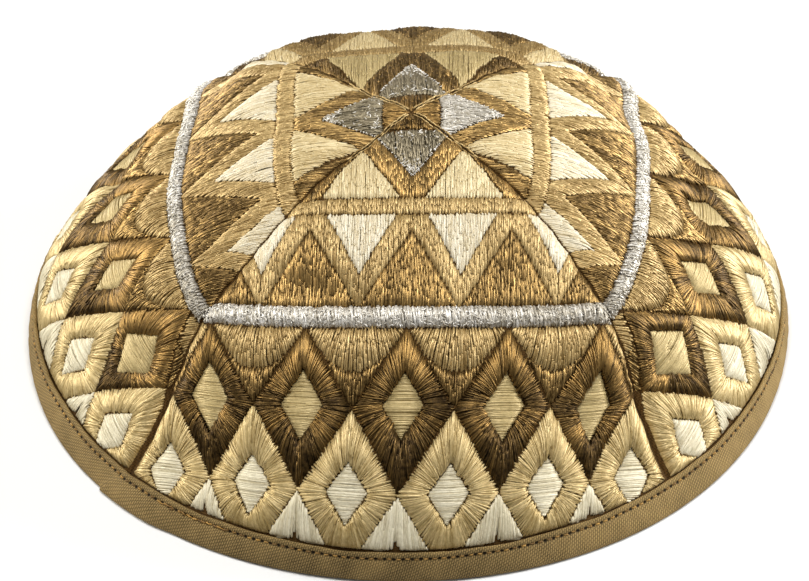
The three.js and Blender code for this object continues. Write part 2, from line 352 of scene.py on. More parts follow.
# ---- stitches -------------------------------------------------------------------------
class Stitches:
    """Stitches of one piece of embroidery: ends on the flat panel, how high each lies, its thread."""

    def __init__(self, flat):
        self.flat, self.parts = flat, []

    def clipped(self, p, q):
        """The stretch of each stitch that lies on the panel."""
        t = np.linspace(0, 1, 49)
        at = p[:, None] + (q - p)[:, None] * t[None, :, None]
        room = self.flat.room(at[..., 0], at[..., 1])
        inside = room > 0
        keep = inside.any(1)
        first = inside.argmax(1)
        last = 48 - inside[:, ::-1].argmax(1)
        a, b = t[first], t[last]
        p2, q2 = p + (q - p) * a[:, None], p + (q - p) * b[:, None]
        keep &= np.linalg.norm(q2 - p2, axis=1) > 0.7
        return p2, q2, keep

    def lay(self, p, q, thread, puff=0.09, most=0.95, least=0.1, longest=7.0, ragged=0.28, width=0.25, rise=0.2, base=0.12, wild=0.05, crumbly=0.0, swell=0.8, own=(0.02, 0.1), bow=0.07, begin=None, dive=(0.26, 0.1), crest=0.5, tone=None):
        """Lays a stitch from each point of p to the same one of q, split where it is too long to hold."""
        p, q = np.asarray(p, float), np.asarray(q, float)
        if not len(p):
            return
        d = unit(q - p)
        n = len(p)
        saw = np.where(np.arange(n) % 2, 1.0, -0.6)
        p = p - d * (ragged * (saw * 0.5 + rng.normal(0, 0.45, n)))[:, None]
        q = q + d * (ragged * (-saw * 0.5 + rng.normal(0, 0.45, n)))[:, None]
        side = np.stack([-d[:, 1], d[:, 0]], 1)
        p = p + side * rng.normal(0, wild, n)[:, None]
        q = q + side * rng.normal(0, wild, n)[:, None]
        # neighbours share some of their shade, so that the fill looks streaky
        streak = np.convolve(rng.normal(0, 1, n + 12), np.hanning(9) / 2.0, "same")[6:-6]
        p, q, keep = self.clipped(p, q)
        p, q, streak = p[keep], q[keep], streak[keep]
        begin = np.zeros(len(p)) if begin is None else begin[keep]
        # tone is painted light and shade, added to each stitch's random shade
        tone = np.broadcast_to(0.0 if tone is None else tone, keep.shape)[keep]
        if not len(p):
            return
        length = np.linalg.norm(q - p, axis=1)
        arch = np.clip(puff * length, least, most) * rng.normal(1, 0.06, len(p))
        pieces = np.maximum(1, np.ceil(length * (1 - begin) / longest * rng.uniform(0.7, 1.2, len(p)))).astype(int)
        start = np.repeat(np.arange(len(p)), pieces)
        number = np.arange(len(start)) - np.repeat(np.cumsum(pieces) - pieces, pieces)
        count = pieces[start]
        shift = rng.uniform(-0.38, 0.38, (len(p), 40))
        low = (number + np.where(number > 0, shift[start, number], 0)) / count
        high = (number + 1 + np.where(number + 1 < count, shift[start, number + 1], 0)) / count
        lap = 0.05 / np.maximum(length[start], 1)
        first, last = number == 0, number + 1 == count
        low, high = low - np.where(first, 0, lap), high + np.where(last, 0, lap)
        low, high = begin[start] + (1 - begin[start]) * low, begin[start] + (1 - begin[start]) * high
        m = len(start)
        self.parts.append(
            {
                "p": p[start],
                "q": q[start],
                "low": low,
                "high": high,
                "arch": arch[start],
                "length": length[start],
                "thread": np.full(m, thread, int),
                "width": width * rng.normal(1, 0.1, m),
                "rise": rise * rng.normal(1, 0.1, m),
                "base": base + rng.normal(0, 0.035, m),
                "shade": np.clip(0.5 + tone[start] + 0.22 * streak[start] + rng.normal(0, 0.26, m), 0, 1),
                "crumbly": np.full(m, crumbly),
                "bow": rng.normal(0, bow, m),
                "dive_low": np.where(first, *dive),
                "dive_high": np.where(last, *dive),
                "swell": np.full(m, swell),
                "crest": np.full(m, math.log(0.5) / math.log(crest)),
                "own": rng.uniform(own[0], own[1], m),
            }
        )

    def rings(self):
        """The stitches as closed tubes: points, faces, and for each its thread, shade and place in the map."""
        s = {k: np.concatenate([x[k] for x in self.parts]) for k in self.parts[0]}
        span = (s["high"] - s["low"]) * s["length"]
        steps = np.clip(np.round(span / 3.0).astype(int) + 4, 4, 8)
        steps = np.where(s["crumbly"] > 0, np.clip(np.round(span / 0.8).astype(int) + 3, 5, 9), steps)
        total = len(span)
        cells = int(math.ceil(math.sqrt(total)))
        section = np.array([(0.0, 1.0), (-1.0, -0.55), (1.0, -0.55)])
        corner = len(section)
        points, quads, caps, thread, shade, maps = [], [], [], [], [], []
        offset = 0
        for n in np.unique(steps):
            k = np.nonzero(steps == n)[0]
            m = len(k)
            end = np.minimum(0.32 / span[k], 0.24)[:, None]
            t = end + (1 - 2 * end) * np.linspace(0, 1, n - 2)[None, :]
            t = np.concatenate([np.zeros((m, 1)), t, np.ones((m, 1))], 1)
            g = s["low"][k, None] + (s["high"] - s["low"])[k, None] * t
            flat = s["p"][k, None] + (s["q"] - s["p"])[k, None] * g[..., None]
            d = unit(s["q"][k] - s["p"][k])
            side = np.stack([-d[:, 1], d[:, 0]], 1)
            crumb = s["crumbly"][k, None]
            wobble = s["bow"][k, None] * np.sin(math.pi * t) + crumb * 0.14 * rng.normal(0, 1, (m, n))
            flat = flat + side[:, None] * wobble[..., None]
            cell = self.flat.cell(flat[..., 0], flat[..., 1])
            place, normal = self.flat.read(self.flat.place, cell), unit(self.flat.read(self.flat.normal, cell))
            swell = np.clip(1 - (2 * np.clip(g, 0, 1) ** s["crest"][k, None] - 1) ** 2, 0, 1) ** s["swell"][k, None]
            away = t * span[k, None]
            near = (1 - t) * span[k, None]
            low, high = np.exp(-away / 0.15), np.exp(-near / 0.15)
            lift = s["base"][k, None] + s["arch"][k, None] * swell + s["own"][k, None] * 4 * t * (1 - t)
            lift = lift - s["dive_low"][k, None] * low - s["dive_high"][k, None] * high
            lift = lift + crumb * 0.1 * rng.normal(0, 1, (m, n))
            place = place + normal * lift[..., None]
            along = np.gradient(place, axis=1)
            along = unit(along)
            right = unit(np.cross(along, normal))
            up = unit(np.cross(right, along))
            roll = crumb * rng.normal(0, 0.55, (m, n))
            c, z = np.cos(roll)[..., None], np.sin(roll)[..., None]
            right, up = right * c + up * z, up * c - right * z
            thin = 1 - 1.7 * s["dive_low"][k, None] * low - 1.7 * s["dive_high"][k, None] * high
            w, h = s["width"][k, None] * thin, s["rise"][k, None] * thin
            ring = (
                place[:, :, None]
                + right[:, :, None] * (w[..., None] * section[:, 0])[..., None]
                + up[:, :, None] * (h[..., None] * section[:, 1])[..., None]
            )
            points.append(ring.reshape(-1, 3))
            base = offset + np.arange(m)[:, None, None] * (n * corner)
            i, j = np.meshgrid(np.arange(n - 1), np.arange(corner), indexing="ij")
            j2 = (j + 1) % corner
            quad = np.stack([i * corner + j, (i + 1) * corner + j, (i + 1) * corner + j2, i * corner + j2], -1)
            quads.append((base + quad.reshape(1, -1, 4)).reshape(-1, 4))
            cap = np.stack([np.arange(corner), (n - 1) * corner + np.arange(corner)[::-1]])[None]
            caps.append((base + cap).reshape(-1, corner))
            per = (n - 1) * corner
            thread.append((np.repeat(s["thread"][k], per), np.repeat(s["thread"][k], 2)))
            shade.append(np.repeat(s["shade"][k], n * corner))
            # each stitch has a cell of its own in the map, its length across and its girth up
            cx, cy = (k % cells)[:, None], (k // cells)[:, None]
            iu = np.stack([i, i + 1, i + 1, i], -1).reshape(1, -1) / (n - 1)
            jv = np.stack([j, j, j + 1, j + 1], -1).reshape(1, -1) / corner
            uv4 = np.stack([(cx + 0.12 + 0.76 * iu) / cells, (cy + 0.1 + 0.8 * jv) / cells], -1).reshape(-1, 2)
            cu = np.array([0.04, 0.08, 0.04, 0.92, 0.96, 0.92])[None]
            cv = np.array([0.4, 0.5, 0.6, 0.4, 0.5, 0.6])[None]
            uv5 = np.stack([(cx + cu) / cells, (cy + cv) / cells], -1).reshape(-1, 2)
            maps.append((uv4, uv5))
            offset += m * n * corner
        return {
            "points": np.concatenate(points),
            "quads": np.concatenate(quads),
            "caps": np.concatenate(caps),
            "thread": np.concatenate([x[0] for x in thread] + [x[1] for x in thread]),
            "shade": np.concatenate(shade),
            "uv": np.concatenate([x[0] for x in maps] + [x[1] for x in maps]),
            "stitches": total,
        }


def scan(polygon, pitch, slant=0.0, jitter=0.05):
    """Parallel stitches down a polygon, one every pitch, leaning by slant across for each unit down."""
    p = np.asarray(polygon, float)
    s = p.copy()
    s[:, 0] -= slant * s[:, 1]
    low, high = s[:, 0].min(), s[:, 0].max()
    n = max(1, int(round((high - low) / pitch)))
    tops, ends = [], []
    for x in low + (np.arange(n) + 0.5) * (high - low) / n + rng.normal(0, jitter, n):
        a, b = s, np.roll(s, -1, 0)
        cross = (a[:, 0] <= x) != (b[:, 0] <= x)
        if not cross.any():
            continue
        t = (x - a[cross, 0]) / (b[cross, 0] - a[cross, 0])
        y = np.sort(a[cross, 1] + t * (b[cross, 1] - a[cross, 1]))
        for y0, y1 in zip(y[0::2], y[1::2]):
            if y1 - y0 > 0.5:
                tops.append((x + slant * y0, y0))
                ends.append((x + slant * y1, y1))
    return np.array(tops).reshape(-1, 2), np.array(ends).reshape(-1, 2)


def turned(polygon):
    return [(y, x) for x, y in polygon]


def scan_across(polygon, pitch, jitter=0.04):
    a, b = scan(turned(polygon), pitch, jitter=jitter)
    return a[:, ::-1], b[:, ::-1]


def scan_fan(polygon, focus, pitch, base):
    """Stitches that spread from a point above the polygon, pitch apart along the level base."""
    p = np.asarray(polygon, float)
    f = np.asarray(focus, float)
    at = (p[:, 0] - f[0]) / (p[:, 1] - f[1])
    low, high = at.min() * (base - f[1]), at.max() * (base - f[1])
    n = max(1, int(round((high - low) / pitch)))
    tops, ends = [], []
    for w in low + (np.arange(n) + 0.5) * (high - low) / n + rng.normal(0, 0.05, n):
        k = w / (base - f[1])
        a, b = at, np.roll(at, -1)
        cross = (a <= k) != (b <= k)
        if cross.sum() < 2:
            continue
        pa, pb = p[cross], np.roll(p, -1, 0)[cross]
        # where the edge meets the line x = f0 + k (y - f1)
        ga = pa[:, 0] - f[0] - k * (pa[:, 1] - f[1])
        gb = pb[:, 0] - f[0] - k * (pb[:, 1] - f[1])
        t = ga / (ga - gb)
        y = np.sort(pa[:, 1] + t * (pb[:, 1] - pa[:, 1]))
        for y0, y1 in zip(y[0::2], y[1::2]):
            if y1 - y0 > 0.5:
                tops.append((f[0] + k * (y0 - f[1]), y0))
                ends.append((f[0] + k * (y1 - f[1]), y1))
    return np.array(tops).reshape(-1, 2), np.array(ends).reshape(-1, 2)


def frame_stitches(outer, inner, pitch):
    """Stitches from an inner diamond's sides out to an outer one's. Every other one starts part of the way out, where they would crowd."""
    p, q, begin = [], [], []
    for k in range(4):
        a, b = np.array(inner[k]), np.array(inner[(k + 1) % 4])
        c, d = np.array(outer[k]), np.array(outer[(k + 1) % 4])
        n = max(4, int(round(np.linalg.norm(d - c) / pitch)))
        t = (np.arange(n) + 0.5) / n
        t = t + rng.normal(0, 0.12 / n, n)
        s, e = a + (b - a) * t[:, None], c + (d - c) * t[:, None]
        begin.append(np.where(np.arange(n) % 2, rng.uniform(0.12, 0.42, n), 0.0))
        p.append(s)
        q.append(e)
    return np.concatenate(p), np.concatenate(q), np.concatenate(begin)


# ---- threads --------------------------------------------------------------------------
THREADS = ["brown", "tan", "cream", "ivory", "straw", "gold", "white", "silver", "pewter", "umber"]
BROWN, TAN, CREAM, IVORY, STRAW, GOLD, WHITE, SILVER, PEWTER, UMBER = range(10)


def srgb(r, g, b):
    return [((c / 255 + 0.055) / 1.055) ** 2.4 if c > 10 else c / 255 / 12.92 for c in (r, g, b)] + [1.0]


# Each thread's darker and lighter shade, how metallic its sheen is, and how rough
THREAD_LOOKS = {
    "brown": {"dark": srgb(92, 69, 32), "light": srgb(206, 170, 106), "metal": 0.74, "rough": 0.38, "fleck": 1.7},
    "umber": {"dark": srgb(56, 40, 17), "light": srgb(170, 135, 77), "metal": 0.78, "rough": 0.4, "fleck": 1.25, "fibre": 0.4},
    "tan": {"dark": srgb(152, 123, 70), "light": srgb(222, 193, 134), "metal": 0.4, "rough": 0.38, "fleck": 1.7},
    "cream": {"dark": srgb(203, 180, 128), "light": srgb(244, 228, 185), "metal": 0.15, "rough": 0.42, "fleck": 1.5},
    "ivory": {"dark": srgb(216, 199, 160), "light": srgb(247, 238, 214), "metal": 0.08, "rough": 0.42, "fleck": 1.5},
    "straw": {"dark": srgb(152, 131, 81), "light": srgb(207, 185, 131), "metal": 0.25, "rough": 0.42, "fleck": 1.5},
    "gold": {"dark": srgb(168, 142, 86), "light": srgb(232, 208, 152), "metal": 0.32, "rough": 0.38, "fleck": 1.6},
    "white": {"dark": srgb(198, 185, 150), "light": srgb(243, 234, 206), "metal": 0.08, "rough": 0.42, "fleck": 1.5},
    "silver": {"dark": srgb(175, 166, 148), "light": srgb(254, 250, 242), "metal": 0.55, "rough": 0.46, "fleck": 1.7},
    "pewter": {"dark": srgb(88, 79, 57), "light": srgb(168, 155, 127), "metal": 0.55, "rough": 0.42, "fleck": 1.8},
}


class Nodes:
    """Short ways to add and join a material's nodes."""

    def __init__(self, material):
        self.tree = material.node_tree
        self.shader = self.tree.nodes["Principled BSDF"]

    def add(self, kind, values=None, **settings):
        n = self.tree.nodes.new(kind)
        for k, v in settings.items():
            setattr(n, k, v)
        for k, v in (values or {}).items():
            if isinstance(v, bpy.types.NodeSocket):
                self.tree.links.new(v, n.inputs[k])
            else:
                n.inputs[k].default_value = v
        return n

    def math(self, operation, a, b=0.0, c=0.0, clamp=False):
        return self.add("ShaderNodeMath", {0: a, 1: b, 2: c}, operation=operation, use_clamp=clamp).outputs[0]

    def noise(self, scale, detail=2.0, vector=None, rough=0.5):
        v = vector or self.add("ShaderNodeTexCoord").outputs["Object"]
        return self.add("ShaderNodeTexNoise", {"Vector": v, "Scale": scale, "Detail": detail, "Roughness": rough}).outputs["Fac"]

    def mix(self, factor, a, b):
        return self.add("ShaderNodeMix", {0: factor, 6: a, 7: b}, data_type="RGBA").outputs[2]

    def bump(self, height, strength, distance, normal=None):
        values = {"Height": height, "Strength": strength, "Distance": distance}
        if normal:
            values["Normal"] = normal
        return self.add("ShaderNodeBump", values).outputs[0]

    def to(self, name, value):
        if isinstance(value, bpy.types.NodeSocket):
            self.tree.links.new(value, self.shader.inputs[name])
        else:
            self.shader.inputs[name].default_value = value


def material(name):
    m = bpy.data.materials.new(name)
    m.use_nodes = True
    return m, Nodes(m)


def thread_material(name, look):
    m, n = material(f"thread_{name}")
    shade = n.add("ShaderNodeAttribute", attribute_name="shade").outputs["Fac"]
    place = n.add("ShaderNodeTexCoord").outputs["Object"]
    own = n.math("MULTIPLY", shade, 61.0)
    fleck = n.add("ShaderNodeTexNoise", {"Vector": place, "W": own, "Scale": 1000.0, "Detail": 2.0, "Roughness": 0.6}, noise_dimensions="4D")
    spread = look["fleck"]
    # the shade attribute carries each stitch's random tone and its painted light and shade
    tone = n.math("ADD", n.math("MULTIPLY_ADD", shade, 0.7, 0.15), n.math("MULTIPLY_ADD", fleck.outputs["Fac"], spread, -spread / 2), clamp=True)
    n.to("Base Color", n.mix(tone, look["dark"], look["light"]))
    # fine filaments that run the length of the stitch
    along = n.add("ShaderNodeVectorMath", {0: n.add("ShaderNodeUVMap", uv_map="OFBake").outputs[0], 1: (240.0, 900.0, 1.0)}, operation="MULTIPLY").outputs[0]
    n.to("Normal", n.bump(n.noise(1.0, 2.0, along), look.get("fibre", 0.55), 0.00006))
    n.to("Metallic", look["metal"])
    n.to("Roughness", look["rough"])
    return m


def weave_height(n, uv_name, pitch):
    """Over and under threads of a plain weave, from a map in mm."""
    uv = n.add("ShaderNodeUVMap", uv_map=uv_name).outputs[0]
    scaled = n.add("ShaderNodeVectorMath", {0: uv, 1: (1 / pitch, 1 / pitch, 1.0)}, operation="MULTIPLY").outputs[0]
    x, y, _ = n.add("ShaderNodeSeparateXYZ", {0: scaled}).outputs
    across = n.math("ABSOLUTE", n.math("SINE", n.math("MULTIPLY", x, math.pi)))
    along = n.math("ABSOLUTE", n.math("SINE", n.math("MULTIPLY", y, math.pi)))
    over = n.math("MODULO", n.math("ADD", n.math("FLOOR", x), n.math("FLOOR", y)), 2.0)
    over = n.math("ABSOLUTE", over)
    return n.math("ADD", n.math("MULTIPLY", across, over), n.math("MULTIPLY", along, n.math("SUBTRACT", 1.0, over)))


def ground_material():
    m, n = material("ground_cloth")
    weave = weave_height(n, "weave_mm", 0.5)
    slub = n.noise(420.0, 3.0)
    tone = n.math("ADD", n.math("MULTIPLY", weave, 0.55), n.math("MULTIPLY", slub, 0.5), clamp=True)
    n.to("Base Color", n.mix(tone, srgb(44, 30, 12), srgb(104, 74, 32)))
    n.to("Normal", n.bump(weave, 0.6, 0.00018))
    n.to("Roughness", n.math("MULTIPLY_ADD", slub, 0.2, 0.72))
    n.to("Specular IOR Level", 0.2)
    return m


def tape_material(pitch, rows, foot, length):
    """Twill tape with needle holes pitch apart along the given rows of its map, with painted shade where it folds under
    at foot, in its sewn grooves and at each hole, and painted light that makes it paler towards the sides.
    """
    m, n = material("tape_twill")
    uv = n.add("ShaderNodeUVMap", uv_map="tape_mm").outputs[0]
    x, y, _ = n.add("ShaderNodeSeparateXYZ", {0: uv}).outputs
    # ribs across the tape about half a millimetre apart, broken by the weft into short floats
    lean = n.math("MULTIPLY_ADD", y, 0.22, x)
    rib = n.math("ABSOLUTE", n.math("SINE", n.math("MULTIPLY", lean, math.pi / 0.52)))
    step = n.math("MULTIPLY_ADD", n.math("FLOOR", n.math("DIVIDE", lean, 0.52)), 0.33, n.math("DIVIDE", y, 0.8))
    float_end = n.math("ABSOLUTE", n.math("SINE", n.math("MULTIPLY", step, math.pi)))
    fuzz = n.noise(2600.0, 2.0)
    height = n.math("ADD", n.math("MULTIPLY", n.math("MULTIPLY", rib, n.math("POWER", float_end, 0.5)), 0.85), n.math("MULTIPLY", fuzz, 0.4))
    worn = n.noise(160.0, 3.0)
    # painted light: the tape is paler towards the sides than at the front
    turn = n.math("MULTIPLY", x, 2 * math.pi / length)
    sides = n.math("MULTIPLY_ADD", n.math("COSINE", n.math("MULTIPLY", turn, 2.0)), -0.135, 0.135)
    painted_side_light = n.math("MULTIPLY_ADD", n.math("SINE", turn), 0.069, sides)
    tone = n.math("ADD", n.math("ADD", n.math("MULTIPLY_ADD", height, 0.85, -0.12), n.math("MULTIPLY_ADD", worn, 0.6, -0.3)), painted_side_light, clamp=True)
    cloth_tone = n.mix(tone, srgb(63, 51, 27), srgb(175, 146, 92))
    # painted shade: the sewn groove is darker, and darkest at each hole
    off = n.math("MINIMUM", *[n.math("ABSOLUTE", n.math("SUBTRACT", y, r)) for r in rows])
    along = n.math("MULTIPLY", n.math("ABSOLUTE", n.math("SUBTRACT", n.math("FRACT", n.math("MULTIPLY_ADD", x, 1 / pitch, 0.5)), 0.5)), pitch)
    away = n.math("SQRT", n.math("ADD", n.math("POWER", along, 2.0), n.math("POWER", off, 2.0)))
    hole_painted_shade = n.math("MULTIPLY_ADD", away, 3.6, -0.9, clamp=True)
    groove = n.math("MULTIPLY_ADD", off, 2.2, 0.35, clamp=True)
    # painted shade where the tape folds under at its foot
    under = n.math("MULTIPLY_ADD", n.math("ABSOLUTE", n.math("SUBTRACT", y, foot)), 0.36, 0.28, clamp=True)
    n.to("Base Color", n.mix(n.math("MULTIPLY", n.math("MULTIPLY", hole_painted_shade, groove), under), srgb(34, 25, 10), cloth_tone))
    n.to("Normal", n.bump(height, 0.8, 0.00018))
    n.to("Roughness", n.math("MULTIPLY_ADD", fuzz, 0.2, 0.66))
    n.to("Specular IOR Level", 0.2)
    return m


def topstitch_material():
    m, n = material("topstitch_thread")
    shade = n.add("ShaderNodeAttribute", attribute_name="shade").outputs["Fac"]
    tone = n.math("ADD", shade, n.math("MULTIPLY_ADD", n.noise(1800.0, 2.0), 0.8, -0.4), clamp=True)
    n.to("Base Color", n.mix(tone, srgb(102, 72, 28), srgb(192, 147, 72)))
    n.to("Normal", n.bump(n.noise(5200.0, 1.0), 0.5, 0.00005))
    n.to("Metallic", 0.2)
    n.to("Roughness", 0.42)
    return m


def mesh_object(name, points, face_sets, materials):
    """A mesh from arrays: points in mm, and arrays of faces with the same number of corners each."""
    me = bpy.data.meshes.new(name)
    loops = np.concatenate([f.ravel() for f in face_sets]).astype(np.int32)
    sizes = np.concatenate([np.full(len(f), f.shape[1]) for f in face_sets]).astype(np.int32)
    starts = np.concatenate([[0], np.cumsum(sizes)[:-1]]).astype(np.int32)
    me.vertices.add(len(points))
    me.vertices.foreach_set("co", (points * MM).astype(np.float32).ravel())
    me.loops.add(len(loops))
    me.loops.foreach_set("vertex_index", loops)
    me.polygons.add(len(sizes))
    me.polygons.foreach_set("loop_start", starts)
    me.polygons.foreach_set("loop_total", sizes)
    me.update(calc_edges=True)
    me.polygons.foreach_set("use_smooth", np.ones(len(sizes), bool))
    for m in materials:
        me.materials.append(m)
    ob = bpy.data.objects.new(name, me)
    bpy.context.scene.collection.objects.link(ob)
    return ob


def set_floats(me, name, values):
    a = me.attributes.new(name, "FLOAT", "POINT")
    a.data.foreach_set("value", np.asarray(values, np.float32))


def set_map(me, name, uv):
    layer = me.uv_layers.new(name=name)
    layer.uv.foreach_set("vector", np.asarray(uv, np.float32).ravel())


thread_materials = [thread_material(n, THREAD_LOOKS[n]) for n in THREADS]


def embroidery(name, stitches):
    r = stitches.rings()
    used = np.unique(r["thread"])
    ob = mesh_object(name, r["points"], [r["quads"], r["caps"]], [thread_materials[i] for i in used])
    me = ob.data
    slot = np.zeros(len(THREADS), np.int32)
    slot[used] = np.arange(len(used))
    me.polygons.foreach_set("material_index", slot[r["thread"]])
    set_floats(me, "shade", r["shade"])
    set_map(me, "OFBake", r["uv"])
    me.validate()
    return ob, (r["stitches"], len(r["quads"]) * 2 + len(r["caps"]))


# ---- the pattern, on the flat panel ---------------------------------------------------
COLUMN = 11.35  # half the distance between two diamonds of a row
CROWN_END, KITE_SIDE, KITE_TIP = 6.4, (8.4, 8.4), 21.5
V_SEAM, V_FOOT = (11.9, 12.0), 2.4
BAND_TOP, BAND_END = 27.8, 32.5
ZIG_HALF, ZIG_TIP, PEAK, PEAK_HALF = 7.9, 48.4, 36.9, 10.9
# The silver line's upper and lower edge on each panel
SILVER_LINE = {"front": (55.8, 60.8), "right": (56.2, 60.3), "back": (56.2, 60.3), "left": (57.3, 61.2)}
LINE_HEIGHT = {"front": 1.05, "right": 1.05, "back": 0.5, "left": 1.05}
# and the painted light and shade it is given towards the panel's left seam and towards its right one
LINE_PAINTED_LIGHT = {"front": (0.0, -1.3), "right": (-0.5, -0.2), "back": (0.0, 0.0), "left": (1.0, -0.9)}
# Painted light and shade in the stitches' colour: the kites, where the right one takes the paler silver thread as a
# painted highlight, and the brown frames above, left of, right of and below their inner diamonds
KITE_PAINTED_LIGHT = {"front": (PEWTER, 0.08), "right": (SILVER, -0.56), "back": (PEWTER, 0.2), "left": (PEWTER, 0.2)}
FRAME_PAINTED_LIGHT = {"front": (0.42, -0.42, -0.42, -0.74), "right": (-0.05, 0.26, -0.3, -0.42), "back": (0.08, -0.34, -0.34, -0.4), "left": (0.5, 0.1, 0.02, -0.6)}
# and the painted light and shade of the crown's fill, of its pale triangles, its heart, its V and its peaks; at the
# back the pale triangles take straw and cream threads in place of cream and ivory, as painted shade
CROWN_PAINTED_LIGHT = {"front": 0.04, "right": 0.0, "back": -0.65, "left": -0.12}
PALE_PAINTED_LIGHT = {"front": ((CREAM, 0.04), (IVORY, 0.04)), "right": ((CREAM, -0.32), (IVORY, -0.1)), "back": ((STRAW, 0.42), (CREAM, -0.62)), "left": ((CREAM, -0.55), (IVORY, -0.16))}
HEART_PAINTED_LIGHT = {"front": -0.2, "right": 0.3, "back": -0.1, "left": 0.3}
V_PAINTED_LIGHT = {"front": 0.42, "right": 0.14, "back": -0.5, "left": 0.1}
PEAK_PAINTED_LIGHT = {"front": -0.03, "right": -0.28, "back": -0.4, "left": -0.42}
# Rows of diamonds: the outer diamond's top, middle, end and half width, and the inner one's
BROWN_ROW = {"top": 61.0, "mid": 78.8, "end": 96.8, "half": 11.35, "in_top": 71.8, "in_mid": 78.4, "in_end": 85.0, "in_half": 4.6}
GOLD_ROW = {"top": 79.0, "mid": 97.1, "end": 115.2, "half": 11.4, "in_top": 90.3, "in_mid": 97.0, "in_end": 104.2, "in_half": 4.7}
# Inner diamonds that are sewn larger than the rest: how much wider and taller, and how much lower they lie
WIDE_INNER = {
    ("left", 2): (1.35, 1.35, 2.4),
    ("right", -2): (1.42, 1.42, 0.4),
    ("front", -2): (1.18, 1.36, -0.2),
    ("front", -1): (1.1, 1.26, 0.0),
    ("front", 0): (1.03, 1.16, -0.4),
    ("front", 1): (1.1, 1.24, 0.1),
    ("front", 2): (1.05, 1.4, 1.6),
}
# Painted light and shade for the gold frames, the inner diamonds, and the points and cups of the tan triangles
GOLD_PAINTED_LIGHT = {"front": 1.0, "right": 0.3, "back": 1.0, "left": 0.3}
INNER_PAINTED_LIGHT = {"front": 0.3, "right": 0.6, "back": 0.2, "left": 0.5}
POINT_PAINTED_LIGHT = {"front": -0.3, "right": 0.1, "back": -0.3, "left": 0.05}
CUP_PAINTED_LIGHT = {"front": -0.1, "right": 0.0, "back": -0.1, "left": -0.2}
# How high the frames' stitches arch: those at the sides are pulled flatter
FULL, FLAT = {"puff": 0.14, "most": 1.45, "crest": 0.24}, {"puff": 0.08, "most": 0.85, "crest": 0.3, "width": 0.36}
FRAME_SHAPE = {"front": FULL, "right": FLAT, "back": FULL, "left": FLAT}
FULL, FLAT = {"puff": 0.11, "most": 1.15, "crest": 0.3}, {"puff": 0.07, "most": 0.75, "crest": 0.36, "width": 0.36}
GOLD_SHAPE = {"front": FULL, "right": FLAT, "back": FULL, "left": FLAT}
# A tan triangle is sewn as a cup and a point under it: the cup's half width, and its rows at the sides and the middle
CUP_HALF, CUP_SIDE, CUP_END = 8.15, 65.6, 70.8
NOTCH = ((1.15, 0.8), (0.45, 2.3))  # bare ground at the foot of a white triangle: half width and height


def mirrored(polygon):
    return [(-x, y) for x, y in polygon][::-1]


def both(polygon):
    return [polygon, mirrored(polygon)]


def diamond(row, x, inner=False):
    a = "in_" if inner else ""
    return [
        (x, row[a + "top"]),
        (x + row[a + "half"], row[a + "mid"]),
        (x, row[a + "end"]),
        (x - row[a + "half"], row[a + "mid"]),
    ]


